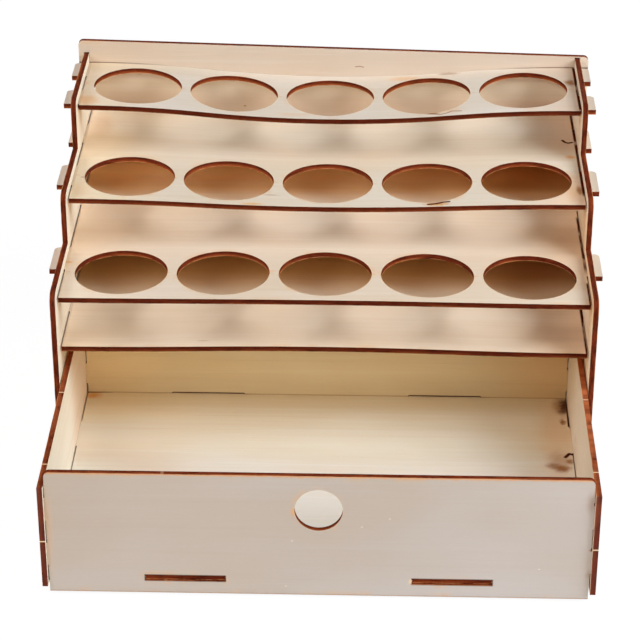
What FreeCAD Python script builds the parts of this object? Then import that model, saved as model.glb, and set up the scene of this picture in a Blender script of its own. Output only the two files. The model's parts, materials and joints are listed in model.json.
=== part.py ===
"""Stepped bottle rack with a drawer, made of flat laser-cut plywood sheets.

Three stepped shelves, each with a row of round holes, run between two side panels and stand over a
drawer bay. The sheets lock together with tabs that pass through slots. Millimetres. +X is to the
right, the drawer opens towards -Y, +Z is up. The pieces are laid out from the front face of the
back panel and the underside of the side panels, and moved as a whole at the end, so that the origin
is at the bottom centre of the rack with its drawer part open.
"""
import FreeCAD, Part
import math
import os

# ---- sheet stock and joints -------------------------------------------------------------------
sheet = 3.0                # thickness of every panel
slot_play = 0.2            # room round a tab in its slot
shelf_end_gap = 0.7        # between the end of a shelf and the side panel
shelf_back_gap = 0.2       # between the back edge of a shelf and the back panel
tab_reach = 5.3            # how far a tab of the rack stands out past the panel it goes through
tab_corner = 3.0           # rounding of a tab's back outer corner

# ---- bottle holes -----------------------------------------------------------------------------
hole_count = 5
hole_diameter = 52.1
hole_web = 5.1             # wood between two holes of a row
end_web = 5.8              # wood between the last hole and the end of the shelf
front_web = 5.1            # wood between a hole and the front edge of its shelf
row_gap = 5.5              # from the front edge of a shelf to the holes of the row below
back_web = 6.7             # from the back panel to the holes of the top row

# ---- heights ----------------------------------------------------------------------------------
floor_height = 3.0         # underside of the bay floor
running_gap = 0.3          # under the drawer
drawer_headroom = 6.3      # over the drawer front
lower_well = 32.2          # from the bay roof to the top of the lower shelf
tier_rise = 30.0           # from one shelf to the next
side_lip = 5.8             # side panel above the shelf beside it
back_rise_left = 8.5       # back panel above the side panels, at its left end
back_rise_right = 1.4      # the same at its right end

# ---- side and back outlines -------------------------------------------------------------------
shelf_setback = 8.0        # front edge of a shelf behind the front edge of the side panel
roof_setback = 10.6        # the same for the bay roof
step_radius = 6.0          # rounding of the side panel's outer steps
back_overhang_left = 3.2   # back panel past the left side panel
back_overhang_right = 5.2
back_corner = 3.0          # rounding of the back panel's top corners

# ---- bow of the thin sheets, down in the middle of the width ------------------------------------
top_sag = 7.2
middle_sag = 3.4
lower_sag = -0.7           # a negative sag is a crown
roof_sag = -2.0

# ---- tabs of the shelves, roof and bay floor ----------------------------------------------------
top_tab = 20.0             # length of the top shelf's tabs, along its end
long_tab = 27.0            # length of the other tabs
top_tab_front = 1.8        # from the front edge of the sheet to its front tab
middle_tab_front = 17.5
lower_tab_front = 33.5
roof_tab_front = 40.5
floor_tab_front = 40.0
top_tab_back = 0.8         # from the back panel to the sheet's back tab
middle_tab_back = 24.0
lower_tab_back = 47.0
roof_tab_back = 43.0
floor_tab_back = 43.0

# ---- tabs of the side panels through the back panel ---------------------------------------------
upper_side_tab = 12.0      # length of the tab at the top of the back edge
side_tab = 23.0            # length of the two tabs below it
middle_side_tab_drop = 41.5  # from the top of the side panel to the underside of the middle tab
lower_side_tab_height = 30.0  # underside of the lowest tab
top_slot_room = 0.9        # open slot above the side panel's top edge
wide_slot_room = 2.8       # the left middle slot is cut wider than its tab, towards the inside

# ---- drawer -----------------------------------------------------------------------------------
drawer_open = 107.3        # how far the drawer stands open
drawer_side_gap = 0.75     # between the drawer and a side panel
drawer_back_gap = 0.8      # behind the drawer when it is shut
drawer_side_height = 61.6
front_rise = 8.3           # drawer front above the drawer sides
front_drop = 4.5           # drawer front below the drawer sides
front_inset = 2.5          # drawer front behind the front edges of the drawer sides
back_inset = 2.5           # drawer back ahead of the back edges of the drawer sides
front_end_gap = 0.6        # between the drawer front or back and a drawer side
front_corner = 3.0         # rounding of the drawer front's top corners
floor_raise = 3.4          # drawer floor above the lower edge of the drawer sides
floor_edge_gap = 0.1       # between the drawer floor and the drawer front or back
floor_stop_gap = 1.0       # bay floor behind the shut drawer's front
joint_flush = 0.1          # a tab of the drawer ends this far inside the face it goes through
finger_hole_diameter = 25.2
finger_hole_drop = 20.9    # centre of the finger hole below the drawer front's top edge
wall_tab = 14.5            # height of the tabs on the ends of the drawer front and back
wall_tab_low = 11.7        # underside of the lower tab above the lower edge of the drawer sides
wall_tab_step = 28.0       # from the lower tab to the upper one
floor_tab = 42.0           # length of the floor's tabs in the drawer front and back
floor_tab_offset = 70.5    # centre of such a tab from the middle of the drawer
floor_slot_play = 0.3      # room round the drawer floor's tabs
floor_tab_recess = 1.0     # end of such a tab behind the face it goes through
floor_end_tab = 28.0       # length of the floor's tabs in the drawer sides
floor_end_tab_inset = 33.0 # from the end of the floor to such a tab

# ---- positions that follow ----------------------------------------------------------------------
shelf_width = hole_count * hole_diameter + (hole_count - 1) * hole_web + 2 * end_web
inner_width = shelf_width + 2 * shelf_end_gap
outer_width = inner_width + 2 * sheet
tab_end = outer_width / 2 + tab_reach
hole_pitch = hole_diameter + hole_web
row_pitch = hole_diameter + front_web + row_gap

# distances from the back panel: hole rows, shelf front edges and the risers of the side panels
hole_rows = [back_web + hole_diameter / 2 + row * row_pitch for row in range(3)]
shelf_fronts = [row + hole_diameter / 2 + front_web for row in hole_rows]
risers = [front + shelf_setback for front in shelf_fronts]
roof_front = risers[2] - roof_setback

bay_floor_top = floor_height + sheet
drawer_bottom = bay_floor_top + running_gap
drawer_top = drawer_bottom + drawer_side_height
roof_under = drawer_top + front_rise + drawer_headroom
lower_top = roof_under + sheet + lower_well
shelf_tops = [lower_top + 2 * tier_rise, lower_top + tier_rise, lower_top]
treads = [top + side_lip for top in shelf_tops]

drawer_width = inner_width - 2 * drawer_side_gap
drawer_front_edge = risers[2] + drawer_open
drawer_back_edge = drawer_open + drawer_back_gap
drawer_inside = drawer_width - 2 * sheet
wall_width = drawer_inside - 2 * front_end_gap
front_outer = drawer_front_edge - front_inset
front_inner = front_outer - sheet
back_outer = drawer_back_edge + back_inset
back_inner = back_outer + sheet
floor_under = drawer_bottom + floor_raise
bay_floor_front = risers[2] - front_inset - sheet - floor_stop_gap

depth_centre = (drawer_front_edge - sheet - tab_reach) / 2


# ---- flat outlines ------------------------------------------------------------------------------
def outline(corners):
    """Closed wire in the XY plane through (x, y, radius) corners; a corner may be rounded."""
    starts = []
    ends = []
    middles = []
    count = len(corners)
    for index, (x, y, radius) in enumerate(corners):
        corner = FreeCAD.Vector(x, y, 0)
        before = FreeCAD.Vector(*corners[index - 1][:2], 0) - corner
        after = FreeCAD.Vector(*corners[(index + 1) % count][:2], 0) - corner
        before.normalize()
        after.normalize()
        half_angle = before.getAngle(after) / 2
        setback = radius / math.tan(half_angle)
        starts.append(corner + before * setback)
        ends.append(corner + after * setback)
        bisector = before + after
        bisector.normalize()
        middles.append(corner + bisector * (radius / math.sin(half_angle) - radius))
    edges = []
    for index in range(count):
        if corners[index][2] > 0:
            edges.append(Part.Arc(starts[index], middles[index], ends[index]).toShape())
        following = starts[(index + 1) % count]
        edges.append(Part.LineSegment(ends[index], following).toShape())
    return Part.Wire(edges)


def sheet_flat(corners, under):
    """A level sheet: the outline is (x, distance from the back panel, radius)."""
    mirrored = [(x, -y, radius) for x, y, radius in corners]
    plate = Part.Face(outline(mirrored)).extrude(FreeCAD.Vector(0, 0, sheet))
    plate.translate(FreeCAD.Vector(0, 0, under))
    return plate


def sheet_across(corners, front):
    """An upright sheet across the width: (x, z, radius), its front face at the given distance."""
    plate = Part.Face(outline(corners)).extrude(FreeCAD.Vector(0, 0, sheet))
    plate.rotate(FreeCAD.Vector(0, 0, 0), FreeCAD.Vector(1, 0, 0), 90)
    plate.translate(FreeCAD.Vector(0, sheet - front, 0))
    return plate


def sheet_along(corners, left):
    """An upright sheet front to back: (distance from the back panel, z, radius), left face at x."""
    plate = Part.Face(outline([(-y, z, radius) for y, z, radius in corners]))
    plate = plate.extrude(FreeCAD.Vector(0, 0, sheet))
    plate.rotate(FreeCAD.Vector(0, 0, 0), FreeCAD.Vector(1, 1, 1), 120)
    plate.translate(FreeCAD.Vector(left, 0, 0))
    return plate


def block(x_range, distance_range, z_range):
    """A box between two x, two distances from the back panel and two heights."""
    width = x_range[1] - x_range[0]
    depth = distance_range[1] - distance_range[0]
    height = z_range[1] - z_range[0]
    corner = FreeCAD.Vector(x_range[0], -distance_range[1], z_range[0])
    return Part.makeBox(width, depth, height, corner)


def widened(span, room):
    return (span[0] - room, span[1] + room)


# ---- bowed sheets -------------------------------------------------------------------------------
def bow_radius(sag):
    """Radius of the three tangent arcs that take the sheet from one flat end to the other."""
    half = shelf_width / 2
    return (half ** 2 + sag ** 2) / (4 * abs(sag))


def bow_drop(x, sag):
    """How far the bowed sheet lies below its ends at x, and its slope angle there."""
    radius = bow_radius(sag)
    sign = math.copysign(1, sag)
    half = shelf_width / 2
    if abs(x) <= half / 2:
        angle = math.asin(x / radius)
        return sag - sign * radius * (1 - math.cos(angle)), sign * angle
    from_end = half - abs(x)
    angle = math.asin(from_end / radius)
    return sign * radius * (1 - math.cos(angle)), sign * math.copysign(angle, x)


def bow_point(x, sag, top, depth_in_sheet):
    """A point of the section at x, the given depth below the sheet's upper face."""
    drop, angle = bow_drop(x, sag)
    across = FreeCAD.Vector(math.sin(angle), 0, -math.cos(angle)) * depth_in_sheet
    return FreeCAD.Vector(x, 0, top - drop) + across


def bow_arcs(sag, top, depth_in_sheet):
    """One face of the sheet's section: end arc, middle arc and end arc."""
    half = shelf_width / 2
    joints = [-half, -half / 2, half / 2, half]
    arcs = []
    for start, end in zip(joints, joints[1:]):
        ends = [bow_point(x, sag, top, depth_in_sheet) for x in (start, (start + end) / 2, end)]
        arcs.append(Part.Arc(*ends).toShape())
    return arcs


def bowed_sheet(sag, top, front):
    """A sheet from the back panel to its front edge, bowed across its width."""
    half = shelf_width / 2
    upper = bow_arcs(sag, top, 0)
    lower = bow_arcs(sag, top, sheet)
    corners = [FreeCAD.Vector(x, 0, z) for x in (-half, half) for z in (top - sheet, top)]
    left = Part.LineSegment(corners[0], corners[1]).toShape()
    right = Part.LineSegment(corners[2], corners[3]).toShape()
    section = Part.Face(Part.Wire(Part.__sortEdges__(upper + lower + [left, right])))
    length = front - shelf_back_gap
    plate = section.extrude(FreeCAD.Vector(0, -length, 0))
    plate.translate(FreeCAD.Vector(0, -shelf_back_gap, 0))
    return plate


# ---- tabs through the side panels -----------------------------------------------------------------
def tab_spans(front, front_tab, back_tab, length):
    """The two stretches of a sheet's end that carry tabs, as distances from the back panel."""
    return [(back_tab, back_tab + length), (front - front_tab - length, front - front_tab)]


top_tabs = tab_spans(shelf_fronts[0], top_tab_front, top_tab_back, top_tab)
middle_tabs = tab_spans(shelf_fronts[1], middle_tab_front, middle_tab_back, long_tab)
lower_tabs = tab_spans(shelf_fronts[2], lower_tab_front, lower_tab_back, long_tab)
roof_tabs = tab_spans(roof_front, roof_tab_front, roof_tab_back, long_tab)
floor_tabs = tab_spans(bay_floor_front, floor_tab_front, floor_tab_back, long_tab)

tabbed_sheets = [
    (shelf_tops[0] - sheet, top_tabs),
    (shelf_tops[1] - sheet, middle_tabs),
    (shelf_tops[2] - sheet, lower_tabs),
    (roof_under, roof_tabs),
    (floor_height, floor_tabs),
]


def with_tabs(plate, under, spans):
    """The plate with its tabs, each rounded at the outer corner nearer the back panel."""
    tabs = []
    for back, front in spans:
        for side in (-1, 1):
            corners = [
                (side * shelf_width / 2, front, 0),
                (side * shelf_width / 2, back, 0),
                (side * tab_end, back, tab_corner),
                (side * tab_end, front, 0),
            ]
            tabs.append(sheet_flat(corners, under))
    return plate.fuse(tabs).removeSplitter()


def bottle_shelf(row, sag, spans):
    """A bowed shelf with its tabs and a row of holes square to its surface."""
    top = shelf_tops[row]
    plate = bowed_sheet(sag, top, shelf_fronts[row])
    plate = with_tabs(plate, top - sheet, spans)
    for hole in range(hole_count):
        x = (hole - (hole_count - 1) / 2) * hole_pitch
        below = bow_point(x, sag, top, 2 * sheet)
        above = bow_point(x, sag, top, -sheet)
        below.y = -hole_rows[row]
        above.y = -hole_rows[row]
        cutter = Part.makeCylinder(hole_diameter / 2, 3 * sheet, below, above - below)
        plate = plate.cut(cutter)
    return plate


# ---- rack ---------------------------------------------------------------------------------------
side_top = treads[0]
middle_side_tab = side_top - middle_side_tab_drop
side_tabs = [
    (side_top - upper_side_tab, side_top),
    (middle_side_tab, middle_side_tab + side_tab),
    (lower_side_tab_height, lower_side_tab_height + side_tab),
]


def side_panel(side):
    """A stepped side panel with tabs on its back edge and slots for the sheets between."""
    tail = -(sheet + tab_reach)
    upper, middle, lower = side_tabs
    corners = [
        (risers[2], 0, 0),
        (risers[2], treads[2], step_radius),
        (risers[1], treads[2], 0),
        (risers[1], treads[1], step_radius),
        (risers[0], treads[1], 0),
        (risers[0], treads[0], step_radius),
        (tail, upper[1], tab_corner),
        (tail, upper[0], 0),
        (0, upper[0], 0),
        (0, middle[1], 0),
        (tail, middle[1], tab_corner),
        (tail, middle[0], 0),
        (0, middle[0], 0),
        (0, lower[1], 0),
        (tail, lower[1], tab_corner),
        (tail, lower[0], 0),
        (0, lower[0], 0),
        (0, 0, 0),
    ]
    inner = side * inner_width / 2
    left_face = min(inner, inner + side * sheet)
    plate = sheet_along(corners, left_face)
    across = (left_face - sheet, left_face + 2 * sheet)
    for under, spans in tabbed_sheets:
        for span in spans:
            slot_height = widened((under, under + sheet), slot_play)
            plate = plate.cut(block(across, widened(span, slot_play), slot_height))
    return plate


def back_panel():
    """The back panel, with a slot for each tab of the side panels."""
    left = -(outer_width / 2 + back_overhang_left)
    right = outer_width / 2 + back_overhang_right
    corners = [
        (left, 0, 0),
        (right, 0, 0),
        (right, side_top + back_rise_right, back_corner),
        (left, side_top + back_rise_left, back_corner),
    ]
    plate = sheet_across(corners, 0)
    through = (-2 * sheet, sheet)
    for side in (-1, 1):
        faces = sorted((side * inner_width / 2, side * outer_width / 2))
        for index, span in enumerate(side_tabs):
            slot_x = widened(faces, slot_play)
            slot_z = widened(span, slot_play)
            if index == 0:
                slot_z = (slot_z[0], span[1] + top_slot_room)
            if index == 1 and side == -1:
                slot_x = (slot_x[0], faces[1] + wide_slot_room)
            plate = plate.cut(block(slot_x, through, slot_z))
    return plate


def bay_roof():
    plate = bowed_sheet(roof_sag, roof_under + sheet, roof_front)
    return with_tabs(plate, roof_under, roof_tabs)


def bay_floor():
    half = shelf_width / 2
    corners = [
        (-half, shelf_back_gap, 0),
        (half, shelf_back_gap, 0),
        (half, bay_floor_front, 0),
        (-half, bay_floor_front, 0),
    ]
    return with_tabs(sheet_flat(corners, floor_height), floor_height, floor_tabs)


# ---- drawer -------------------------------------------------------------------------------------
wall_tabs = []
for step in (0, wall_tab_step):
    low = drawer_bottom + wall_tab_low + step
    wall_tabs.append((low, low + wall_tab))
floor_length = front_inner - back_inner - 2 * floor_edge_gap
floor_back_edge = back_inner + floor_edge_gap
floor_front_edge = floor_back_edge + floor_length
floor_end_tabs = [
    (floor_back_edge + floor_end_tab_inset, floor_back_edge + floor_end_tab_inset + floor_end_tab),
    (floor_front_edge - floor_end_tab_inset - floor_end_tab, floor_front_edge - floor_end_tab_inset),
]
floor_cross_tabs = [
    (side * floor_tab_offset - floor_tab / 2, side * floor_tab_offset + floor_tab / 2)
    for side in (-1, 1)
]


def drawer_wall(low, high, corner, front):
    """The drawer front or back: a sheet between the drawer sides, with tabs into them."""
    half = wall_width / 2
    corners = [(-half, low, 0), (half, low, 0), (half, high, corner), (-half, high, corner)]
    plate = sheet_across(corners, front)
    tabs = []
    for tab_low, tab_high in wall_tabs:
        for side in (-1, 1):
            ends = sorted((side * half, side * (drawer_width / 2 - joint_flush)))
            tabs.append(block(ends, (front - sheet, front), (tab_low, tab_high)))
    plate = plate.fuse(tabs).removeSplitter()
    slot_z = widened((floor_under, floor_under + sheet), floor_slot_play)
    for span in floor_cross_tabs:
        through = (front - 2 * sheet, front + sheet)
        plate = plate.cut(block(widened(span, floor_slot_play), through, slot_z))
    return plate


def drawer_front():
    top = drawer_top + front_rise
    plate = drawer_wall(drawer_bottom - front_drop, top, front_corner, front_outer)
    start = FreeCAD.Vector(0, -front_outer - sheet, top - finger_hole_drop)
    hole = Part.makeCylinder(finger_hole_diameter / 2, 3 * sheet, start, FreeCAD.Vector(0, 1, 0))
    return plate.cut(hole)


def drawer_back():
    return drawer_wall(drawer_bottom, drawer_top, 0, back_inner)


def drawer_side(side):
    """A drawer side with slots for the tabs of the front, the back and the floor."""
    corners = [
        (drawer_back_edge, drawer_bottom, 0),
        (drawer_front_edge, drawer_bottom, 0),
        (drawer_front_edge, drawer_top, 0),
        (drawer_back_edge, drawer_top, 0),
    ]
    inner = side * drawer_inside / 2
    left_face = min(inner, inner + side * sheet)
    plate = sheet_along(corners, left_face)
    across = (left_face - sheet, left_face + 2 * sheet)
    for wall in ((front_inner, front_outer), (back_outer, back_inner)):
        for span in wall_tabs:
            plate = plate.cut(block(across, widened(wall, slot_play), widened(span, slot_play)))
    floor_z = widened((floor_under, floor_under + sheet), slot_play)
    for span in floor_end_tabs:
        plate = plate.cut(block(across, widened(span, slot_play), floor_z))
    return plate


def drawer_floor():
    """The drawer floor, with tabs into all four drawer walls."""
    half = wall_width / 2
    floor_z = (floor_under, floor_under + sheet)
    plate = block((-half, half), (floor_back_edge, floor_front_edge), floor_z)
    tabs = []
    for span in floor_cross_tabs:
        tabs.append(block(span, (floor_front_edge, front_outer - floor_tab_recess), floor_z))
        tabs.append(block(span, (back_outer + floor_tab_recess, floor_back_edge), floor_z))
    for span in floor_end_tabs:
        for side in (-1, 1):
            ends = sorted((side * half, side * (drawer_width / 2 - joint_flush)))
            tabs.append(block(ends, span, floor_z))
    return plate.fuse(tabs).removeSplitter()


# ---- all pieces ---------------------------------------------------------------------------------
pieces = {
    "left_side_panel": side_panel(-1),
    "right_side_panel": side_panel(1),
    "back_panel": back_panel(),
    "top_shelf": bottle_shelf(0, top_sag, top_tabs),
    "middle_shelf": bottle_shelf(1, middle_sag, middle_tabs),
    "lower_shelf": bottle_shelf(2, lower_sag, lower_tabs),
    "bay_roof": bay_roof(),
    "bay_floor": bay_floor(),
    "drawer_front": drawer_front(),
    "drawer_back": drawer_back(),
    "drawer_left_side": drawer_side(-1),
    "drawer_right_side": drawer_side(1),
    "drawer_floor": drawer_floor(),
}

os.makedirs("parts", exist_ok=True)
for name, shape in pieces.items():
    solids = shape.Solids
    if len(solids) != 1 or not shape.isValid():
        raise ValueError(f"{name} is not one valid solid")
    piece = solids[0]
    piece.translate(FreeCAD.Vector(0, depth_centre, 0))
    piece.exportStep(f"parts/{name}.step")
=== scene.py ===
"""Stepped plywood bottle rack with its drawer part open: materials, light and camera.

The CAD sheets are shown as they are. Every sheet gets two procedural materials, one for its two
broad faces and one for its laser-cut edges. Lengths are metres in the scene and millimetres inside
the materials, in the frame of the CAD model.
"""
import bpy
import json
import math
from mathutils import Matrix, Vector

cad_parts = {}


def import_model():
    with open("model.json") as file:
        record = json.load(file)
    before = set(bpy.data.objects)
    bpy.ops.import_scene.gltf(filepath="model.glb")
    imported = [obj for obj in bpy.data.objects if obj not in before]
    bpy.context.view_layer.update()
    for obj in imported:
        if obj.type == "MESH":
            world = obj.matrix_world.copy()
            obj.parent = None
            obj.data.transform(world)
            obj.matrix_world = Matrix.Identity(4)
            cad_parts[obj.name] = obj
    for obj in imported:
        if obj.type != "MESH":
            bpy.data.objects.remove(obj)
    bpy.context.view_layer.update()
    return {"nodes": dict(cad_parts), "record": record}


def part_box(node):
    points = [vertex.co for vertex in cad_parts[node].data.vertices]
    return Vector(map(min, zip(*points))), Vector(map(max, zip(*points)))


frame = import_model()
nodes = frame["nodes"]
MM = 1000.0

# ---- camera, fitted to the photographed object ---------------------------------------------------
# its place in metres, its turns in degrees, its lens and sensor in millimetres, and the range that
# it sees in metres
CAMERA_PLACE = (0.02448, -1.18490, 0.73937)
CAMERA_YAW = -1.3336
CAMERA_PITCH = -28.9697
CAMERA_ROLL = 0.1365
CAMERA_LENS = 133.54
SENSOR_WIDTH = 36.0
CAMERA_RANGE = (0.05, 50.0)


# ---- places in the frame, in millimetres ---------------------------------------------------------
def lowest(node):
    """The least x, y and z of a CAD sheet's box."""
    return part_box(node)[0] * MM


def highest(node):
    """The greatest x, y and z of a CAD sheet's box."""
    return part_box(node)[1] * MM


def mount(name):
    """A mount of the part's record."""
    for entry in frame["record"]["mounts"]:
        if entry["name"] == name:
            return entry
    raise KeyError(name)


SHEET = highest("bay_floor").z - lowest("bay_floor").z
HALF_SHEET = SHEET / 2


def camera():
    """The photograph's camera: yaw turns it to the right, pitch lifts it, and roll tilts it."""
    yaw, pitch, roll = (math.radians(a) for a in (CAMERA_YAW, CAMERA_PITCH, CAMERA_ROLL))
    forward = Vector((
        math.sin(yaw) * math.cos(pitch),
        math.cos(yaw) * math.cos(pitch),
        math.sin(pitch),
    ))
    level = Vector((math.cos(yaw), -math.sin(yaw), 0.0))
    above = level.cross(forward)
    right = level * math.cos(roll) + above * math.sin(roll)
    up = above * math.cos(roll) - level * math.sin(roll)
    turn = Matrix((right, up, -forward)).transposed().to_4x4()
    data = bpy.data.cameras.new("camera")
    data.lens = CAMERA_LENS
    data.sensor_width = SENSOR_WIDTH
    data.clip_start, data.clip_end = CAMERA_RANGE
    holder = bpy.data.objects.new("camera", data)
    holder.matrix_world = Matrix.Translation(Vector(CAMERA_PLACE)) @ turn
    bpy.context.scene.collection.objects.link(holder)
    bpy.context.scene.camera = holder


# ---- node helpers --------------------------------------------------------------------------------
def linear(code):
    """Scene-linear colour of a six-digit sRGB code."""
    channels = []
    for start in (0, 2, 4):
        value = int(code[start:start + 2], 16) / 255
        channels.append(value / 12.92 if value <= 0.04045 else ((value + 0.055) / 1.055) ** 2.4)
    return (*channels, 1.0)


class Field:
    """A number that a material works out at each point of a surface."""

    def __init__(self, tree, socket):
        self.tree = tree
        self.socket = socket

    def math(self, operation, *others):
        node = self.tree.nodes.new("ShaderNodeMath")
        node.operation = operation
        for slot, value in zip(node.inputs, (self, *others)):
            if isinstance(value, Field):
                self.tree.links.new(value.socket, slot)
            else:
                slot.default_value = value
        return Field(self.tree, node.outputs[0])

    def __add__(self, other):
        return self.math("ADD", other)

    def __sub__(self, other):
        return self.math("SUBTRACT", other)

    def __rsub__(self, other):
        return self.math("MULTIPLY_ADD", -1.0, other)

    def __mul__(self, other):
        return self.math("MULTIPLY", other)

    def __truediv__(self, other):
        return self.math("DIVIDE", other)

    def __abs__(self):
        return self.math("ABSOLUTE")

    def root(self):
        return self.math("SQRT")

    def least(self, other):
        return self.math("MINIMUM", other)

    def most(self, other):
        return self.math("MAXIMUM", other)

    def ramp(self, start, end):
        """0 up to start, 1 from end on, and smooth between them; end may be the smaller."""
        node = self.tree.nodes.new("ShaderNodeMapRange")
        node.interpolation_type = "SMOOTHSTEP"
        low, high = min(start, end), max(start, end)
        node.inputs["From Min"].default_value = low
        node.inputs["From Max"].default_value = high
        node.inputs["To Min"].default_value = 0.0 if start < end else 1.0
        node.inputs["To Max"].default_value = 1.0 if start < end else 0.0
        self.tree.links.new(self.socket, node.inputs["Value"])
        return Field(self.tree, node.outputs[0])


WOOD_IOR = 1.45


class Surface:
    """A material under construction, with the point's place in millimetres as x, y and z."""

    def __init__(self, name, offset):
        self.material = bpy.data.materials.new(name)
        self.material.use_nodes = True
        self.tree = self.material.node_tree
        self.tree.nodes.clear()
        place = self.tree.nodes.new("ShaderNodeTexCoord").outputs["Object"]
        split = self.tree.nodes.new("ShaderNodeSeparateXYZ")
        self.tree.links.new(place, split.inputs[0])
        self.x, self.y, self.z = (Field(self.tree, out) * MM for out in split.outputs)
        self.offset = offset

    def point(self, u, v, w):
        node = self.tree.nodes.new("ShaderNodeCombineXYZ")
        for slot, value in zip(node.inputs, (u, v, w)):
            if isinstance(value, Field):
                self.tree.links.new(value.socket, slot)
            else:
                slot.default_value = value
        return node.outputs[0]

    def noise(self, u, v, w, lengths, detail=2.0, roughness=0.5, distortion=0.0):
        """Noise from 0 to 1, whose features are about the given lengths along u, v and w."""
        shifted = [
            axis * (1 / length) + shift
            for axis, length, shift in zip((u, v, w), lengths, self.offset)
        ]
        node = self.tree.nodes.new("ShaderNodeTexNoise")
        node.inputs["Scale"].default_value = 1.0
        node.inputs["Detail"].default_value = detail
        node.inputs["Roughness"].default_value = roughness
        node.inputs["Distortion"].default_value = distortion
        self.tree.links.new(self.point(*shifted), node.inputs["Vector"])
        return Field(self.tree, node.outputs["Fac"])

    def mix(self, factor, under, over, blend="MIX"):
        node = self.tree.nodes.new("ShaderNodeMix")
        node.data_type = "RGBA"
        node.blend_type = blend
        node.clamp_factor = True
        self.tree.links.new(factor.socket, node.inputs["Factor"])
        for name, colour in (("A", under), ("B", over)):
            slot = [s for s in node.inputs if s.name == name and s.type == "RGBA"][0]
            if isinstance(colour, tuple):
                slot.default_value = colour
            else:
                self.tree.links.new(colour, slot)
        return [s for s in node.outputs if s.type == "RGBA"][0]

    def finish(self, colour, roughness, shine, height, relief):
        """Closes the material; relief is how high a height of 1 stands, in millimetres."""
        shader = self.tree.nodes.new("ShaderNodeBsdfPrincipled")
        self.tree.links.new(colour, shader.inputs["Base Color"])
        self.tree.links.new(roughness.socket, shader.inputs["Roughness"])
        shader.inputs["IOR"].default_value = WOOD_IOR
        self.tree.links.new(shine.socket, shader.inputs["Specular IOR Level"])
        bump = self.tree.nodes.new("ShaderNodeBump")
        bump.inputs["Strength"].default_value = 1.0
        bump.inputs["Distance"].default_value = relief / MM
        self.tree.links.new(height.socket, bump.inputs["Height"])
        self.tree.links.new(bump.outputs[0], shader.inputs["Normal"])
        out = self.tree.nodes.new("ShaderNodeOutputMaterial")
        self.tree.links.new(shader.outputs[0], out.inputs["Surface"])
        return self.material


# ---- distances inside a material, in millimetres -------------------------------------------------
def circle(u, v, centre, radius):
    """Signed distance to a circle: negative inside."""
    du = u - centre[0]
    dv = v - centre[1]
    return (du * du + dv * dv).root() - radius


def rectangle(u, v, low, high):
    """Signed distance to a rectangle: negative inside."""
    du = abs(u - (low[0] + high[0]) / 2) - (high[0] - low[0]) / 2
    dv = abs(v - (low[1] + high[1]) / 2) - (high[1] - low[1]) / 2
    outside_u = du.most(0.0)
    outside_v = dv.most(0.0)
    outside = (outside_u * outside_u + outside_v * outside_v).root()
    return outside + du.most(dv).least(0.0)


def nearest(fields):
    """The least of several distances."""
    result = fields[0]
    for field in fields[1:]:
        result = result.least(field)
    return result


# ---- marks on a sheet ----------------------------------------------------------------------------
def smudge(surface, u, v, centre, size, lumps=0.0):
    """A soft spot: 1 at its centre, 0 outside; lumps makes its outline uneven."""
    du = (u - centre[0]) / size[0]
    dv = (v - centre[1]) / size[1]
    reach = (du * du + dv * dv).root()
    if lumps:
        grain = min(size) * 0.6
        reach = reach + (surface.noise(u, v, 0.0, (grain, grain, 1.0), detail=3.0) - 0.5) * lumps
    return reach.ramp(1.0, 0.15)


def stroke(u, v, points, half_width):
    """A thin line through the points."""
    parts = []
    for start, end in zip(points, points[1:]):
        du, dv = end[0] - start[0], end[1] - start[1]
        from_u, from_v = u - start[0], v - start[1]
        share = (from_u * du + from_v * dv) / (du * du + dv * dv)
        share = share.most(0.0).least(1.0)
        off_u, off_v = from_u - share * du, from_v - share * dv
        parts.append((off_u * off_u + off_v * off_v).root())
    return nearest(parts).ramp(half_width, half_width * 0.35)


def nick(along, place, half_width=0.45):
    """The pale stub of a bridge that held the sheet in its blank, across a cut edge."""
    return abs(along - place).ramp(half_width, half_width * 0.6)


# ---- plywood -------------------------------------------------------------------------------------
# the veneer
CREAM = linear("ECD5B5")
HONEY = linear("E6CAA4")
PALE = linear("F3E1C6")
STREAK = linear("D6B58A")
RIM = linear("F2D2A6")
# heat marks: amber haze, brown smoke, soot, and the red-brown of thin charred lines
AMBER = linear("E9AA66")
SMOKE = linear("945515")
SOOT = linear("3E1C07")
CRACK = linear("4C1501")
# cut edges
CHAR = linear("48180B")
BURNT = linear("7F3319")
TOASTED = linear("A5532B")
SCORCH = linear("E1A06A")
EMBER = linear("BE683D")
UMBER = linear("68352C")
# painted light and shade on the shelves' tabs outside the side panels: lighter and greyer on the
# left, darker on the right, where the strongest lamp falls
LEFT_TAB_LIGHT = linear("F0DBD1")
RIGHT_TAB_SHADE = linear("E0CDBA")
# painted shade: how the underside of a bowed sheet departs from its upper face, warmer and
# yellower, standing in for the warm light bounced into the shade under it
UNDERSIDE_SHADE = (1.14, 0.97, 0.68)
# how each sheet departs from the palette, in red, green and blue; the numbers were chosen by
# comparing renders with the photographed object, so they hold some of the light that fell on it as
# well as its veneer
VENEER_AND_LIGHT = {
    "top_shelf": (0.96, 1.04, 1.26),
    "middle_shelf": (0.95, 1.02, 1.18),
    "lower_shelf": (0.94, 0.96, 1.07),
    "bay_roof": (1.03, 1.07, 1.18),
    "bay_floor": (0.90, 0.90, 0.90),
    "back_panel": (0.87, 0.90, 1.05),
    "left_side_panel": (1.13, 1.27, 1.48),
    "right_side_panel": (1.08, 1.09, 1.18),
    "drawer_front": (0.70, 0.76, 0.97),
    "drawer_back": (1.05, 1.08, 0.96),
    "drawer_left_side": (1.10, 1.24, 1.45),
    "drawer_right_side": (0.96, 0.98, 1.07),
    "drawer_floor": (1.06, 1.27, 1.58),
}


def facing(node, axis, sign):
    """A span through the middle of a sheet: it keeps an area to the face towards +axis or -axis."""
    n = "xyz".index(axis)
    middle = (lowest(node)[n] + highest(node)[n]) / 2
    return (axis, middle - sign * HALF_SHEET / 3, middle + sign * HALF_SHEET / 3)


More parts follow.
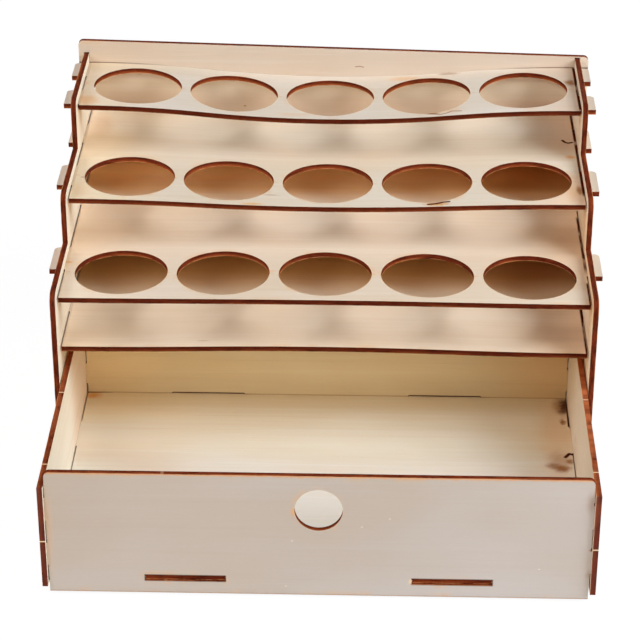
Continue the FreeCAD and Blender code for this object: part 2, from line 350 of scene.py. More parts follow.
BACK_FRONT = facing("back_panel", "y", -1)
FRONT_INSIDE = facing("drawer_front", "y", 1)
LEFT_OUTSIDE = facing("left_side_panel", "x", -1)
RIGHT_OUTSIDE = facing("right_side_panel", "x", 1)
RIGHT_INSIDE = facing("right_side_panel", "x", -1)
DRAWER_RIGHT_OUTSIDE = facing("drawer_right_side", "x", 1)

# painted light and shade: areas of a sheet whose tone departs from the rest of it, to stand in for
# the shadows, the bounced light and the light on each face, chosen in the same way: where each
# lies, as (axis, where it starts, where it is full), and its tone
PAINTED_LIGHT_AND_SHADE = {
    "top_shelf": [
        # left end, right end, back left corner
        ([("x", -90.0, -140.0)], (1.12, 1.02, 0.88)),
        ([("x", 100.0, 143.0)], (0.94, 0.84, 0.77)),
        ([("y", 130.0, 142.0), ("x", 0.0, -110.0)], (0.90, 0.89, 0.84)),
    ],
    "middle_shelf": [
        # back, left end, back left corner, right end in front and behind
        ([("y", 80.0, 118.0)], (1.10, 1.13, 1.14)),
        ([("x", -85.0, -135.0)], (1.16, 1.09, 0.95)),
        ([("x", -100.0, -140.0), ("y", 104.0, 120.0)], (1.08, 1.14, 1.28)),
        ([("x", 100.0, 140.0), ("y", 70.0, 50.0)], (1.12, 0.94, 0.83)),
        ([("x", 112.0, 143.0), ("y", 86.0, 104.0)], (0.86, 0.73, 0.65)),
    ],
    "lower_shelf": [
        # behind its row of holes, and its right and left ends
        ([("y", 5.0, 62.0)], (1.16, 1.18, 1.19)),
        ([("x", 90.0, 135.0), ("y", 30.0, 60.0), ("y", 84.0, 74.0)], (1.12, 1.14, 1.16)),
        ([("x", 100.0, 140.0), ("y", -32.0, -18.0)], (0.95, 0.87, 0.79)),
        ([("x", 105.0, 140.0), ("y", 26.0, 38.0), ("y", 58.0, 48.0)], (0.86, 0.81, 0.76)),
        ([("x", -85.0, -135.0)], (1.13, 1.11, 1.08)),
        # what shows through the middle shelf's holes
        ([("y", 80.0, 102.0)], (0.93, 0.74, 0.51)),
        ([("y", 102.0, 126.0)], (1.37, 1.40, 1.52)),
        ([("y", 94.0, 108.0), ("x", 25.0, 105.0)], (0.76, 0.59, 0.42)),
        ([("y", 102.0, 128.0), ("x", -30.0, -110.0)], (1.24, 1.36, 1.52)),
    ],
    "bay_roof": [
        # what shows through the lower shelf's holes, and the ends in front of that
        ([("y", 22.0, 54.0)], (0.78, 0.60, 0.36)),
        ([("y", 30.0, 55.0), ("x", 40.0, 130.0)], (0.92, 0.80, 0.80)),
        ([("x", 90.0, 140.0), ("y", 22.0, 8.0)], (1.02, 0.94, 0.88)),
        ([("x", 100.0, 135.0), ("y", -30.0, -22.0), ("y", -6.0, -14.0)], (0.87, 0.84, 0.84)),
        ([("x", -90.0, -140.0), ("y", 22.0, 8.0)], (1.11, 1.11, 1.10)),
    ],
    "back_panel": [
        # what shows through the top shelf's holes, its lower part, and that at the right and left
        ([("z", 170.0, 166.0), BACK_FRONT], (1.12, 1.17, 1.15)),
        ([("z", 164.0, 150.0), BACK_FRONT], (0.84, 0.75, 0.71)),
        ([("z", 162.0, 152.0), ("x", 85.0, 115.0), BACK_FRONT], (1.10, 1.06, 1.06)),
        ([("z", 164.0, 150.0), ("x", -20.0, -100.0), BACK_FRONT], (0.92, 0.87, 0.82)),
    ],
    "drawer_back": [
        # foot, left end, right end
        ([("z", 34.0, 14.0)], (0.86, 0.85, 0.84)),
        ([("x", -85.0, -130.0)], (1.16, 1.13, 1.07)),
        ([("x", 80.0, 135.0)], (0.98, 0.84, 0.71)),
    ],
    "drawer_floor": [
        # front, middle, back
        ([("y", -22.0, -54.0)], (0.90, 0.88, 0.92)),
        ([("y", -38.0, -10.0), ("y", 24.0, 4.0)], (1.12, 1.15, 1.18)),
        ([("y", 10.0, 32.0)], (0.93, 0.88, 0.77)),
        # back left, back right, front right, front left and its corner
        ([("y", -12.0, 12.0), ("x", -60.0, -130.0)], (1.10, 1.04, 0.93)),
        ([("y", -40.0, -20.0), ("x", 75.0, 135.0)], (0.92, 0.87, 0.80)),
        ([("y", -25.0, -50.0), ("x", 10.0, 100.0)], (1.12, 1.14, 1.15)),
        ([("y", 5.0, -30.0), ("x", -50.0, -120.0)], (1.03, 0.94, 0.86)),
        ([("y", -35.0, -52.0), ("x", -95.0, -140.0)], (1.08, 1.20, 1.26)),
    ],
    "drawer_front": [
        # left half, foot, inner face
        ([("x", 0.0, -60.0)], (1.00, 0.97, 0.93)),
        ([("z", 22.0, 6.0)], (1.02, 1.05, 1.08)),
        ([FRONT_INSIDE], (1.35, 1.24, 1.05)),
    ],
    "left_side_panel": [
        ([LEFT_OUTSIDE], (0.95, 0.92, 0.85)),
    ],
    "right_side_panel": [
        ([RIGHT_OUTSIDE], (0.84, 0.84, 0.86)),
        # inner face: between the lower and the middle shelf, and the front half
        ([RIGHT_INSIDE, ("z", 146.0, 136.0), ("z", 104.0, 114.0)], (1.00, 0.92, 0.80)),
        ([RIGHT_INSIDE, ("y", 45.0, 10.0)], (1.12, 1.08, 1.04)),
    ],
    "drawer_left_side": [
        # behind the middle
        ([("y", -45.0, -10.0)], (1.08, 0.98, 0.94)),
    ],
    "drawer_right_side": [
        # behind the middle, and the outer face
        ([("y", -45.0, -15.0)], (1.20, 1.28, 1.38)),
        ([DRAWER_RIGHT_OUTSIDE], (0.90, 0.90, 0.90)),
    ],
}

# lengths of the patterns on a broad face, in millimetres: along the grain, across it and through
# the sheet
BLOTCH = (110.0, 60.0, 60.0)
FIGURE = (150.0, 4.0, 8.0)
GRAIN = (42.0, 0.55, 3.0)
FLECK = (5.0, 0.35, 2.0)
HEAT_PATCH = (14.0, 14.0, 14.0)
# how deep the grain and the flecks are
VENEER_RELIEF = 0.030
# distances from a cut: where the wide tint and the thin line of heat and painted highlight end, and
# where both are full
TINT_WIDTH = 4.0
RIM_WIDTH = 0.85
HEAT_FULL = 0.2

# lengths of the patterns on a cut edge: twice in the sheet's plane, and through the sheet
BURN = (8.0, 8.0, 1.2)
BEAM_RIBS = (0.35, 0.35, 5.0)
BURN_PATCH = (30.0, 30.0, 3.0)
# how deep the beam's ribs and the burns are
EDGE_RELIEF = 0.12
# how far the two glue lines lie from the middle of the sheet
GLUE_LINE = 0.5


def toned(colour, tone):
    """A palette colour changed by a tone, with no channel over 1."""
    return (*(min(part * share, 1.0) for part, share in zip(colour, tone)), 1.0)


def plywood(surface, tone, u, v, w, cut, marks, shades, figured=1.0):
    """The broad face of a sheet: grain along u, cut the distance to the nearest laser cut.

    Marks are stains, each with its amount, shades are areas of painted light and shade, each with
    its tone, and figured is how strongly the grain shows.
    """
    cream, honey, pale, streak, rim = (
        toned(colour, tone) for colour in (CREAM, HONEY, PALE, STREAK, RIM)
    )
    blotch = surface.noise(u, v, w, BLOTCH)
    figure = surface.noise(u, v, w, FIGURE, detail=3.0, roughness=0.55, distortion=0.3)
    grain = surface.noise(u, v, w, GRAIN, detail=3.0, roughness=0.6)
    fleck = surface.noise(u, v, w, FLECK, detail=1.0)
    colour = surface.mix(blotch.ramp(0.30, 0.75) * 0.8, cream, honey)
    # pattern, ends of its ramp, how much of it shows, and its colour
    layers = (
        (figure, (0.52, 0.80), 0.22 * figured, streak),
        (figure, (0.48, 0.24), 0.30 * figured, pale),
        (grain, (0.52, 0.80), 0.20 * figured, streak),
        (grain, (0.44, 0.22), 0.40 * figured, pale),
        (fleck, (0.68, 0.82), 0.22, streak),
        (fleck, (0.34, 0.20), 0.35, pale),
    )
    for pattern, span, share, over in layers:
        colour = surface.mix(pattern.ramp(*span) * share, colour, over)
    # painted light and shade, each area with its tone
    for area, change in shades:
        colour = surface.mix(area, colour, (*change, 1.0), "MULTIPLY")
    # heat of the cut: a wide faint tint in places, and a thin pale-orange line at the rim, partly
    # heat and partly a painted highlight along the edge
    patchy = surface.noise(u, v, w, HEAT_PATCH)
    tint = cut.ramp(TINT_WIDTH, HEAT_FULL) * patchy.ramp(0.50, 0.72)
    colour = surface.mix(tint * 0.35, colour, AMBER)
    line = cut.ramp(RIM_WIDTH, HEAT_FULL) * patchy.ramp(0.10, 0.50)
    colour = surface.mix(line * 0.75, colour, rim)
    # charred wood is matt
    shine = grain * 0.04 + 0.14
    for stain, amount in marks:
        colour = surface.mix(amount, colour, stain)
        shine = shine * (1.0 - amount)
    roughness = grain * 0.16 + 0.50
    height = grain * 0.6 + fleck * 0.4
    return surface.finish(colour, roughness, shine, height, VENEER_RELIEF)


def burnt_edge(surface, along, side, w, nicks, pale_side=-1, warmth=0.5):
    """A laser-cut edge: along and side lie in the sheet's plane, and w runs through the sheet.

    The middle of the sheet is at w = 0. The beam leaves on the pale side, where the veneer is only
    toasted. Warmth is how much of the edge is toasted instead of charred, and nicks are stains,
    each with its amount.
    """
    run = surface.noise(along, side, w, BURN, detail=3.0, roughness=0.65)
    ribs = surface.noise(along, side, w, BEAM_RIBS)
    patch = surface.noise(along, side, w, BURN_PATCH)
    colour = surface.mix(run.ramp(0.30, 0.66), CHAR, BURNT)
    toast = (w * pale_side).ramp(-0.3, 0.8) * patch.ramp(0.62 - 0.4 * warmth, 0.80 - 0.4 * warmth)
    colour = surface.mix(toast * 0.85, colour, TOASTED)
    glue = abs(abs(w) - GLUE_LINE).ramp(0.20, 0.04)
    colour = surface.mix(glue * 0.50, colour, CHAR)
    colour = surface.mix(ribs.ramp(0.45, 0.75) * 0.30, colour, CHAR)
    colour = surface.mix((w * -pale_side).ramp(1.05, 1.42) * 0.55, colour, CHAR)
    rim = (w * pale_side).ramp(1.12, 1.42)
    colour = surface.mix(rim * run.ramp(0.36, 0.58) * 0.85, colour, SCORCH)
    for stain, amount in nicks:
        colour = surface.mix(amount, colour, stain)
    roughness = run * 0.2 + 0.66
    shine = run * 0.04 + 0.02
    height = ribs * 0.7 + run * 0.5
    return surface.finish(colour, roughness, shine, height, EDGE_RELIEF)


# a face is broad where its normal has at least this part along the sheet's thickness
BROAD = 0.9


def dress(node, axis, face, edge):
    """Gives a CAD sheet its face material on the broad faces, and its edge material elsewhere."""
    mesh = nodes[node].data
    mesh.materials.clear()
    mesh.materials.append(face)
    mesh.materials.append(edge)
    for polygon in mesh.polygons:
        polygon.material_index = 0 if abs(polygon.normal[axis]) > BROAD else 1


# ---- bowed sheets --------------------------------------------------------------------------------
def bow(x, half, sag):
    """How far a bowed sheet lies below its ends: three tangent arcs, as the CAD sheet has."""
    radius = (half ** 2 + sag ** 2) / (4 * abs(sag))
    sign = math.copysign(1.0, sag)
    reach = abs(x).least(half)
    middle = sag - (radius - (radius ** 2 - reach * reach).root()) * sign
    from_end = half - reach
    outer = (radius - (radius ** 2 - from_end * from_end).root()) * sign
    inside = reach.math("LESS_THAN", half / 2)
    return outer + (middle - outer) * inside


def through_bowed(surface, half, top, sag):
    """Height inside a bowed sheet, 0 in the middle of its thickness."""
    return surface.z + bow(surface.x, half, sag) - (top - HALF_SHEET)


def bowing(node, hangs):
    """Upper face of a bowed sheet at its ends, and how far its middle hangs lower.

    The sheets whose middle doesn't hang stand higher there, by the second number turned positive.
    """
    low, high = lowest(node).z, highest(node).z
    rise = high - low - SHEET
    return (high, rise) if hangs else (low + SHEET, -rise)


BOWED = {
    "top_shelf": bowing("top_shelf", True),
    "middle_shelf": bowing("middle_shelf", True),
    "lower_shelf": bowing("lower_shelf", False),
    "bay_roof": bowing("bay_roof", False),
}


# ---- the sheets ----------------------------------------------------------------------------------
# half the length of a bowed sheet between its tabs
SHELF_HALF = 146.25
# how far the char at a shelf's end reaches inwards, and where it is full
END_CHAR = (1.3, 0.5)
# about where the tabs come out of the side panels, and how far to each side of it their tone blends
PANEL_OUTSIDE = 150.0
TAB_BLEND = 0.5


def painted_shading(node, surface):
    """The areas of painted light and shade on a sheet: how much each holds here, and its tone."""
    places = {"x": surface.x, "y": surface.y, "z": surface.z}
    shades = []
    for spans, tone in PAINTED_LIGHT_AND_SHADE.get(node, ()):
        amount = 1.0
        for axis, start, end in spans:
            amount = places[axis].ramp(start, end) * amount
        shades.append((amount, tone))
    # the underside of a bowed sheet: painted warm shade
    if node in BOWED:
        through = through_bowed(surface, SHELF_HALF, *BOWED[node])
        shades.append((through.ramp(0.2, -0.2), UNDERSIDE_SHADE))
    return shades


def end_marks(surface, x, y):
    """The charred ends of a sheet, beside the side panels, and painted light and shade on the tabs
    outside them.
    """
    patchy = surface.noise(0.0, y, 0.0, (1.0, 30.0, 1.0))
    # in patches, and more at the right
    burnt = patchy.ramp(0.34, 0.46) * (x.ramp(-100.0, 100.0) * 0.8 + 0.2)
    end = abs(x).ramp(SHELF_HALF - END_CHAR[0], SHELF_HALF - END_CHAR[1])
    end = end * abs(x).ramp(PANEL_OUTSIDE, PANEL_OUTSIDE - TAB_BLEND)
    inner, outer = PANEL_OUTSIDE - TAB_BLEND, PANEL_OUTSIDE + TAB_BLEND
    return [
        (CRACK, end * burnt),
        (LEFT_TAB_LIGHT, x.ramp(-inner, -outer) * 0.65),
        (RIGHT_TAB_SHADE, x.ramp(inner, outer) * 0.80),
    ]


# how charred the front edge of most sheets is
FRONT_BURN = 0.45


def front_char(y, front, amount=FRONT_BURN):
    """Char over the front edge of a sheet, which is darker than its other edges."""
    return [(CHAR, y.ramp(front + 0.8, front + 0.1) * amount)]


def make_shelf(node, row, offset, marks, warmth, front_burn=FRONT_BURN):
    """A bowed sheet with a row of holes.

    Offset shifts the noise, so that each sheet has its own grain, and front_burn is how charred the
    front edge is.
    """
    low = lowest(node)
    first, second = (mount(f"{row}_hole_{index}") for index in (2, 3))
    pitch = (second["pos_m"][0] - first["pos_m"][0]) * MM
    radius = first["dims"]["r_mm"]
    centre_y = first["pos_m"][1] * MM
    surface = Surface(f"{node}_face", offset)
    x, y = surface.x, surface.y
    folded = x.math("WRAP", pitch / 2, -pitch / 2)
    hole = abs(circle(folded, y, (0.0, centre_y), radius))
    cut = nearest([hole, y - low.y, SHELF_HALF - abs(x)])
    # each hole's cut starts at its right
    started = smudge(surface, folded, y, (radius + 1.2, centre_y), (2.6, 0.8))
    stains = [(AMBER, started * 0.5)]
    stains += marks(surface, x, y) + end_marks(surface, x, y)
    shades = painted_shading(node, surface)
    face = plywood(surface, VENEER_AND_LIGHT[node], x, y, surface.z, cut, stains, shades)
    surface = Surface(f"{node}_edge", offset)
    w = through_bowed(surface, SHELF_HALF, *BOWED[node])
    folded = surface.x.math("WRAP", pitch / 2, -pitch / 2)
    start = smudge(surface, folded, surface.y, (radius, centre_y), (0.8, 0.8))
    nicks = [(SOOT, start)]
    nicks += front_char(surface.y, low.y, front_burn)
    edge = burnt_edge(surface, surface.x, surface.y, w, nicks, warmth=warmth)
    dress(node, 2, face, edge)


def make_sheet(node, axis, offset, cuts=None, marks=None, nicks=None, figured=1.0, **edge_options):
    """A sheet without a row of holes, whose thickness runs along the given axis.

    Offset shifts the noise. Cuts gives the distances to holes and slots, and marks and nicks give
    the stains on its broad faces and on its edges.
    """
    low, high = lowest(node), highest(node)
    grain_axis = 1 if axis == 0 else 0
    across_axis = 3 - axis - grain_axis
    surface = Surface(f"{node}_face", offset)
    axes = (surface.x, surface.y, surface.z)
    u, v = axes[grain_axis], axes[across_axis]
    borders = [axes[n] - low[n] for n in (grain_axis, across_axis)]
    borders += [high[n] - axes[n] for n in (grain_axis, across_axis)]
    if cuts:
        borders += cuts(u, v)
    stains = marks(surface, u, v) if marks else []
    cut = nearest([abs(b) for b in borders])
    if node in BOWED:
        stains += end_marks(surface, u, v)
    shades = painted_shading(node, surface)
    face = plywood(surface, VENEER_AND_LIGHT[node], u, v, axes[axis], cut, stains, shades, figured)
    surface = Surface(f"{node}_edge", offset)
    axes = (surface.x, surface.y, surface.z)
    u, v = axes[grain_axis], axes[across_axis]
    if node in BOWED:
        through = through_bowed(surface, SHELF_HALF, *BOWED[node])
    else:
        through = axes[axis] - (low[axis] + high[axis]) / 2
    stubs = nicks(surface, u, v) if nicks else ()
    edge = burnt_edge(surface, u, v, through, stubs, **edge_options)
    dress(node, axis, face, edge)


# ---- floor, world and lamps ----------------------------------------------------------------------
# in metres; the floor lies just under the object, so that their faces don't share a plane
FLOOR_SIDE = 6.0
FLOOR_DROP = 0.0002
FLOOR_COLOUR = linear("F4F4F4")
FLOOR_GLOW = 1.04
# how much of the floor's look is the white glow, which only the camera sees
GLOW_SHARE = 0.9
WHITE = (1.0, 1.0, 1.0, 1.0)


def floor():
    """A floor that looks white to the camera and keeps the object's shadow."""
    mesh = bpy.data.meshes.new("floor")
    half = FLOOR_SIDE / 2
    corners = [(-half, -half, 0), (half, -half, 0), (half, half, 0), (-half, half, 0)]
    mesh.from_pydata(corners, [], [(0, 1, 2, 3)])
    ground = bpy.data.objects.new("floor", mesh)
    ground.location.z = -FLOOR_DROP
    bpy.context.scene.collection.objects.link(ground)
    material = bpy.data.materials.new("floor_white")
    material.use_nodes = True
    tree = material.node_tree
    tree.nodes.clear()
    diffuse = tree.nodes.new("ShaderNodeBsdfDiffuse")
    diffuse.inputs["Color"].default_value = FLOOR_COLOUR
    glow = tree.nodes.new("ShaderNodeEmission")
    glow.inputs["Color"].default_value = WHITE
    glow.inputs["Strength"].default_value = FLOOR_GLOW
    both = tree.nodes.new("ShaderNodeMixShader")
    path = tree.nodes.new("ShaderNodeLightPath")
    share = Field(tree, path.outputs["Is Camera Ray"]) * GLOW_SHARE
    tree.links.new(share.socket, both.inputs["Fac"])
    tree.links.new(diffuse.outputs[0], both.inputs[1])
    tree.links.new(glow.outputs[0], both.inputs[2])
    out = tree.nodes.new("ShaderNodeOutputMaterial")
    tree.links.new(both.outputs[0], out.inputs["Surface"])
    mesh.materials.append(material)


WORLD_AMBIENT = (0.09, 0.085, 0.08, 1.0)


def world():
    """A dim ambient light, with a white background where the camera or a reflection sees it."""
    sky = bpy.data.worlds.new("studio")
    bpy.context.scene.world = sky
    sky.use_nodes = True
    tree = sky.node_tree
    tree.nodes.clear()
    ambient = tree.nodes.new("ShaderNodeBackground")
    ambient.inputs["Color"].default_value = WORLD_AMBIENT
    white = tree.nodes.new("ShaderNodeBackground")
    white.inputs["Color"].default_value = WHITE
    path = tree.nodes.new("ShaderNodeLightPath")
    seen = Field(tree, path.outputs["Is Camera Ray"])
    seen = seen.most(Field(tree, path.outputs["Is Glossy Ray"]))
    seen = seen.most(Field(tree, path.outputs["Is Transmission Ray"]))
    both = tree.nodes.new("ShaderNodeMixShader")
    tree.links.new(seen.socket, both.inputs["Fac"])
    tree.links.new(ambient.outputs[0], both.inputs[1])
    tree.links.new(white.outputs[0], both.inputs[2])
    out = tree.nodes.new("ShaderNodeOutputWorld")
    tree.links.new(both.outputs[0], out.inputs["Surface"])


COOL = (0.82, 0.91, 1.0)
MILD = (1.0, 0.95, 0.90)
NEAR_WHITE = (1.0, 0.98, 0.96)
WARM = (1.0, 0.91, 0.82)
# name, azimuth and elevation in degrees, size in metres, power in watts, colour
LAMPS = [
    ("key", 68.6, 38.9, 0.9, 19.5, COOL),
    ("left", -80.0, 34.0, 0.6, 7.2, COOL),
    ("front_left", -35.0, 34.0, 0.6, 6.0, MILD),
    ("front_right", 42.0, 20.0, 0.5, 3.0, WARM),
    ("back", 180.0, 5.0, 0.5, 7.5, NEAR_WHITE),
]
# in metres; every lamp faces one point, and stands at this distance from it
LAMP_DISTANCE = 1.4
LAMP_AIM = Vector((0.0, 0.0, 0.08))


def lamp(name, azimuth, elevation, size, power, colour):
    """A square lamp around the object; azimuth 0 is the front, and 90 the right."""
    turn, rise = math.radians(azimuth), math.radians(elevation)
    away = Vector((
        math.sin(turn) * math.cos(rise),
        -math.cos(turn) * math.cos(rise),
        math.sin(rise),
    ))
    data = bpy.data.lights.new(name, "AREA")
    data.shape = "SQUARE"
    data.size = size
    data.energy = power
    data.color = colour
    holder = bpy.data.objects.new(name, data)
    holder.location = LAMP_AIM + away * LAMP_DISTANCE
    holder.rotation_euler = (-away).to_track_quat("-Z", "Y").to_euler()
    bpy.context.scene.collection.objects.link(holder)


# ---- the stains of each sheet, each a colour and its amount; places are in millimetres -----------
def top_shelf_marks(surface, x, y):
    swirl_line = [(59.0, 88.8), (64.6, 86.6), (68.7, 88.3), (71.7, 90.6), (77.0, 89.9)]
    swirl = stroke(x, y, swirl_line, 0.9)
    knot = smudge(surface, x, y, (60.5, 88.8), (6.0, 1.8), 0.5)
    haze = smudge(surface, x, y, (63.0, 93.0), (22.0, 7.0), 0.7)
    rim = smudge(surface, x, y, (44.0, 142.5), (14.0, 5.0), 0.6)
    behind = smudge(surface, x, y, (70.5, 146.0), (9.0, 2.6), 0.6)
    corner = smudge(surface, x, y, (-142.0, 92.0), (9.0, 11.0), 0.6)
    right = smudge(surface, x, y, (143.0, 125.5), (5.0, 7.0), 0.6)
    smear = smudge(surface, x, y, (-22.0, 90.0), (14.0, 4.0), 0.7)
    return [
        (AMBER, haze * 0.40),
        (AMBER, rim * 0.45),
        (AMBER, smear * 0.25),
        (SMOKE, knot * 0.80),
        (SMOKE, swirl * 0.65),
        (SMOKE, behind * 0.50),
        (AMBER, corner * 0.55),
        (SMOKE, right * 0.85),
    ]


def middle_shelf_marks(surface, x, y):
    crack = stroke(x, y, [(57.5, 24.6), (62.0, 25.4), (66.0, 27.2), (69.4, 27.6)], 1.2)
    curl = stroke(x, y, [(138.7, 108.6), (140.1, 106.0), (141.8, 104.8), (144.1, 105.8)], 1.3)
    smear = smudge(surface, x, y, (-42.5, 23.6), (9.5, 2.4), 0.7)
    line = smudge(surface, x, y, (-32.0, 35.8), (6.5, 1.1), 0.4)
    end = smudge(surface, x, y, (142.2, 85.2), (5.0, 3.4), 0.4)
    spot = smudge(surface, x, y, (144.0, 40.5), (2.6, 8.0), 0.7)
    left = smudge(surface, x, y, (-141.3, 50.0), (2.0, 0.9))
    left_haze = smudge(surface, x, y, (-141.0, 33.0), (8.0, 13.0), 0.4)
    back_haze = smudge(surface, x, y, (-139.0, 124.0), (12.0, 26.0), 0.5)
    knot = smudge(surface, x, y, (62.0, 24.8), (10.0, 3.4), 0.6)
    stain = smudge(surface, x, y, (141.0, 38.0), (9.0, 15.0), 0.6)
    return [
        (AMBER, left_haze * 0.22),
        (AMBER, back_haze * 0.30),
        (AMBER, smear * 0.70),
        (SMOKE, line * 0.45),
        (AMBER, end * 0.80),
        (AMBER, stain * 0.40),
        (SMOKE, spot * 0.75),
        (SMOKE, left * 0.70),
        (AMBER, knot * 0.90),
        (SMOKE, knot * 0.30),
        (CRACK, crack),
        (CRACK, curl),
    ]


def lower_shelf_marks(surface, x, y):
    return [
        (AMBER, smudge(surface, x, y, (-145.0, 1.4), (3.0, 2.0)) * 0.8),
        (AMBER, smudge(surface, x, y, (-30.0, -7.5), (3.4, 0.9)) * 0.7),
    ]


def bay_roof_marks(surface, x, y):
    return [(SMOKE, smudge(surface, x, y, (-67.5, -32.0), (5.0, 0.9), 0.5) * 0.35)]


def bay_roof_nicks(surface, x, y):
    return front_char(y, lowest("bay_roof").y)


def back_panel_marks(surface, x, z):
    dash = stroke(x, z, [(14.6, 176.9), (17.2, 177.2), (19.4, 176.7)], 0.5)
    top, sag = BOWED["top_shelf"]
    above = z + bow(x, SHELF_HALF, sag) - top
    joint = abs(above).ramp(0.9, 0.2) * abs(x).ramp(92.0, 132.0)
    speck = smudge(surface, x, z, (-52.8, 150.3), (1.2, 0.7))
    streak = smudge(surface, x, z, (71.0, 171.5), (10.0, 2.0), 0.5)
    front = surface.y.ramp(*BACK_FRONT[1:])
    return [
        (SMOKE, speck * front * 0.9),
        (SMOKE, dash * front * 0.6),
        (SMOKE, streak * front * 0.5),
        (SOOT, joint * front * 0.60),
    ]


# the drawer floor's tabs: their width, and how far each lies from the middle
FLOOR_TAB = 42.0
FLOOR_TAB_OFFSET = 70.5


def drawer_floor_marks(surface, x, y):
    haze_wide = smudge(surface, x, y, (136.0, -8.0), (18.0, 66.0), 0.5)
    haze_back = smudge(surface, x, y, (140.0, 25.0), (8.0, 14.0), 0.7)
    core_back = smudge(surface, x, y, (141.6, 27.0), (4.6, 10.5), 0.8)
    core_end = smudge(surface, x, y, (139.8, 19.5), (3.8, 4.6), 0.8)
    small = smudge(surface, x, y, (139.2, 7.6), (2.8, 4.4), 0.9)
    haze_front = smudge(surface, x, y, (134.5, -36.0), (10.0, 16.0), 0.7)
    core_front = smudge(surface, x, y, (136.0, -43.5), (6.4, 6.0), 0.7)
    tail = smudge(surface, x, y, (131.0, -40.5), (6.0, 4.6), 0.7)
    middle = smudge(surface, x, y, (140.6, -35.5), (4.0, 4.4), 0.7)
    hook = stroke(x, y, [(138.4, -30.8), (140.8, -27.2), (143.2, -28.2)], 1.6)
    slot_rim = stroke(x, y, [(142.9, 34.5), (142.4, 2.7)], 0.7)
    scorch = smudge(surface, x, y, (-139.5, 31.0), (8.0, 6.0), 0.6)
    corner = stroke(x, y, [(-143.2, 34.3), (-134.0, 34.6), (-128.0, 34.9)], 0.9)
    return [
        (AMBER, scorch * 0.85),
        (CRACK, corner),
        (AMBER, haze_wide * 0.36),
        (SMOKE, haze_back * 0.70),
        (SOOT, core_back * 0.85),
        (SOOT, core_end * 0.60),
        (SMOKE, small * 0.85),
        (SMOKE, haze_front * 0.42),
        (SMOKE, core_front * 0.85),
        (SMOKE, tail * 0.65),
        (SMOKE, middle * 0.75),
        (CRACK, hook),
        (CRACK, slot_rim),
    ]


def drawer_back_marks(surface, x, z):
    """Burnt rims above the drawer floor's tabs, and the line where the floor meets."""
    top = highest("drawer_floor").z
    reach = FLOOR_TAB / 2
    rim_line = [(FLOOR_TAB_OFFSET - reach, top + 0.3), (FLOOR_TAB_OFFSET + reach, top + 0.3)]
    rims = stroke(abs(x), z, rim_line, 1.0)
    joint = abs(z - top - 0.1).ramp(0.5, 0.1)
    corner = stroke(x, z, [(-143.0, top), (-142.9, top + 5.6)], 0.6)
    return [(SMOKE, joint * 0.5), (CRACK, rims), (CRACK, corner)]


# room round those tabs in the slots of the drawer front
SLOT_PLAY = 0.3
FINGER_HOLE = (0.0, 55.3)
FINGER_HOLE_RADIUS = 12.6
# flecks in the veneer of the drawer front
PALE_FLECKS = ((-13.9, 36.0), (-17.2, 7.2), (116.0, 20.4), (22.6, 45.4), (37.1, 50.7))


def drawer_front_slots(x, z):
    """Distance to the two slots of the drawer front, which are mirror images."""
    reach = FLOOR_TAB / 2 + SLOT_PLAY
    under = lowest("drawer_floor").z - SLOT_PLAY
    over = highest("drawer_floor").z + SLOT_PLAY
    return rectangle(
        abs(x), z, (FLOOR_TAB_OFFSET - reach, under), (FLOOR_TAB_OFFSET + reach, over),
    )


def drawer_front_cuts(x, z):
    """Distances to the slots and the finger hole."""
    return [drawer_front_slots(x, z), circle(x, z, FINGER_HOLE, FINGER_HOLE_RADIUS)]


def drawer_front_marks(surface, x, z):
    low, high = lowest("drawer_front"), highest("drawer_front")
    singe = surface.noise(x, z, 0.0, (2.6, 1.6, 1.0), detail=3.0)
    top_rim = (high.z - z + (singe - 0.5) * 1.6).ramp(1.3, 0.4)
    # a thin darkening along the bottom edge
    bottom_rim = (z - low.z).ramp(0.8, 0.2)
    finger = smudge(surface, x, z, (-13.2, 54.0), (1.8, 3.8), 0.4)
    stains = [
        (SOOT, abs(drawer_front_slots(x, z)).ramp(0.60, 0.2) * 0.7),
        (SCORCH, top_rim * 0.75),
        (SMOKE, bottom_rim * 0.5),
        (AMBER, finger * 0.65),
        # soft darker patches at the right end
        (SMOKE, smudge(surface, x, z, (142.6, 62.5), (6.0, 10.0), 0.3) * 0.30),
        (SMOKE, smudge(surface, x, z, (143.0, 32.8), (2.2, 1.2)) * 0.8),
        (SMOKE, smudge(surface, x, z, (142.6, 17.3), (3.0, 4.0), 0.3) * 0.25),
        (AMBER, smudge(surface, x, z, (-142.5, 40.0), (4.0, 34.0), 0.5) * 0.25),
        (SMOKE, smudge(surface, x, z, (-142.7, 17.6), (1.0, 1.0)) * 0.8),
        (RIM, smudge(surface, x, z, (48.6, 11.2), (1.5, 2.4)) * 0.9),
    ]
    for place in PALE_FLECKS:
        stains.append((PALE, smudge(surface, x, z, place, (0.9, 0.6)) * 0.7))
    return stains


# where the bridges held a drawer side, at its top edge and at its front edge, and the drawer front
SIDE_NICKS = (-58.9, -132.9)
SIDE_FRONT_NICK = 34.8
FRONT_TOP_NICK = -81.0


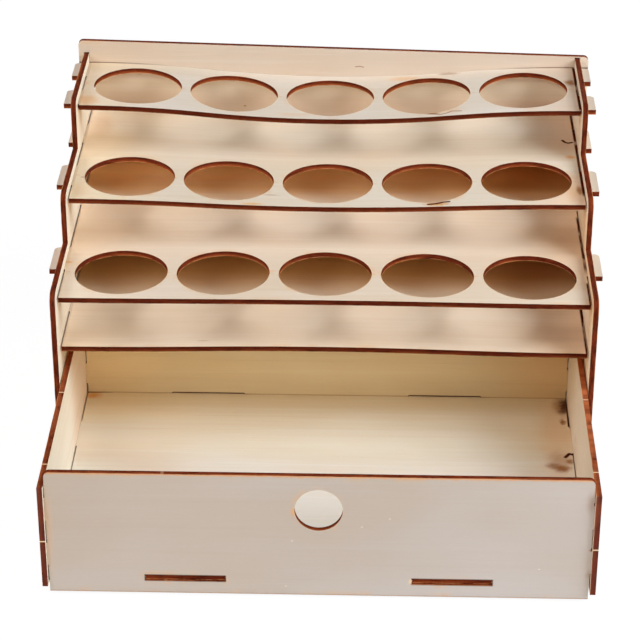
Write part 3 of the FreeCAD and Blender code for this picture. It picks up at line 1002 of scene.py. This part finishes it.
def drawer_side_nicks(surface, y, z, ember):
    """Edges of a drawer side: umber in front, and light brown on top by the share ember."""
    front = lowest("drawer_left_side").y
    front_edge = y.ramp(front + 0.95, front + 0.45)
    uneven = surface.noise(y, z, 0.0, (6.0, 6.0, 1.0), detail=3.0)
    top = z.ramp(48.0, 60.0) * (y.ramp(-138.0, -80.0) * 0.6 + 0.4)
    stubs = [(EMBER, top * uneven.ramp(0.25, 0.6) * ember), (UMBER, front_edge * 0.60)]
    stubs += [(RIM, nick(y, place) * 0.9) for place in SIDE_NICKS]
    return stubs + [(RIM, nick(z, SIDE_FRONT_NICK) * front_edge * 0.9)]


def left_drawer_nicks(surface, y, z):
    return drawer_side_nicks(surface, y, z, 0.30)


def right_drawer_nicks(surface, y, z):
    return drawer_side_nicks(surface, y, z, 0.85)


def drawer_front_nicks(surface, x, z):
    return [(RIM, nick(x, FRONT_TOP_NICK, 1.0) * 0.18)]


make_shelf("top_shelf", "top", (3.1, 7.7, 1.3), top_shelf_marks, warmth=0.7, front_burn=0.65)
make_shelf("middle_shelf", "middle", (11.9, 2.3, 5.7), middle_shelf_marks, warmth=0.65)
make_shelf("lower_shelf", "lower", (23.4, 17.2, 9.1), lower_shelf_marks, warmth=0.35)
make_sheet("bay_roof", 2, (31.0, 5.0, 2.0), marks=bay_roof_marks, nicks=bay_roof_nicks)
make_sheet("bay_floor", 2, (38.3, 8.7, 3.9))
make_sheet("back_panel", 1, (45.6, 12.4, 5.8), marks=back_panel_marks)
make_sheet("left_side_panel", 0, (52.9, 16.1, 7.7), warmth=0.35)
make_sheet("right_side_panel", 0, (60.2, 19.8, 9.6), warmth=0.2, pale_side=1)
make_sheet(
    "drawer_front", 1, (67.5, 23.5, 11.5),
    cuts=drawer_front_cuts, marks=drawer_front_marks, nicks=drawer_front_nicks, figured=0.5,
)
make_sheet("drawer_back", 1, (74.8, 27.2, 13.4), marks=drawer_back_marks)
make_sheet("drawer_left_side", 0, (82.1, 30.9, 15.3), nicks=left_drawer_nicks)
make_sheet("drawer_right_side", 0, (89.4, 34.6, 17.2), nicks=right_drawer_nicks)
make_sheet("drawer_floor", 2, (96.7, 38.3, 19.1), marks=drawer_floor_marks)

camera()
floor()
world()
for entry in LAMPS:
    lamp(*entry)

scene = bpy.context.scene
scene.view_settings.view_transform = "Standard"
